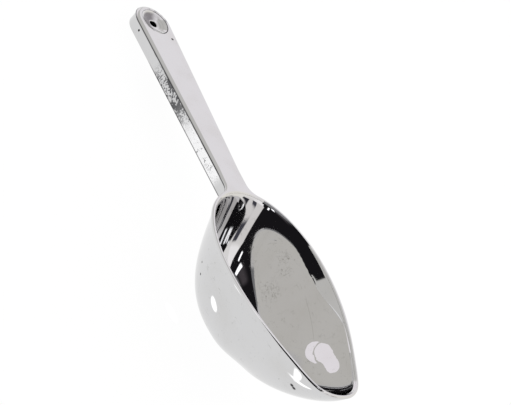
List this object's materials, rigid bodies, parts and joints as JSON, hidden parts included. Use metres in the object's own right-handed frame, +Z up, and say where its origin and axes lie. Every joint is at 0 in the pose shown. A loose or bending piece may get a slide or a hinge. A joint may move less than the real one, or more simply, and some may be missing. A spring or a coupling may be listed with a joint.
{
  "type": "ice scoop",
  "caption": "Small mirror-bright ice scoop: a deep boat-shaped bowl under a flat lip that runs on into a tapered hollow handle with a dished hang hole.",
  "frame": {"origin": "centre of the scoop's outline on the surface that it lies on, under the neck end of the bowl", "axes": "+X along the scoop from the handle's end towards the tip, +Y across it to the left seen from the handle, +Z up; it lies on its foot and on the end of its handle, tip raised"},
  "size_m": [0.1602, 0.047, 0.0411],
  "materials": {
    "bowl_plating": "mirror-bright metallised plastic with fine scratches",
    "frame_plating": "mirror-bright metallised plastic",
    "tray_plating": "mirror-bright metallised plastic, worn and speckled along the side",
    "eyelet_plating": "mirror-bright metallised plastic",
    "bare_pin": "dark pin end with no plating"
  },
  "bodies": {
    "root": {"bowl_shell": "bowl_plating", "rim_frame": "frame_plating", "handle_tray": "tray_plating", "hang_eyelet": "eyelet_plating", "side_pin": "bare_pin", "top_pin": "bare_pin"}
  },
  "joints": []
}
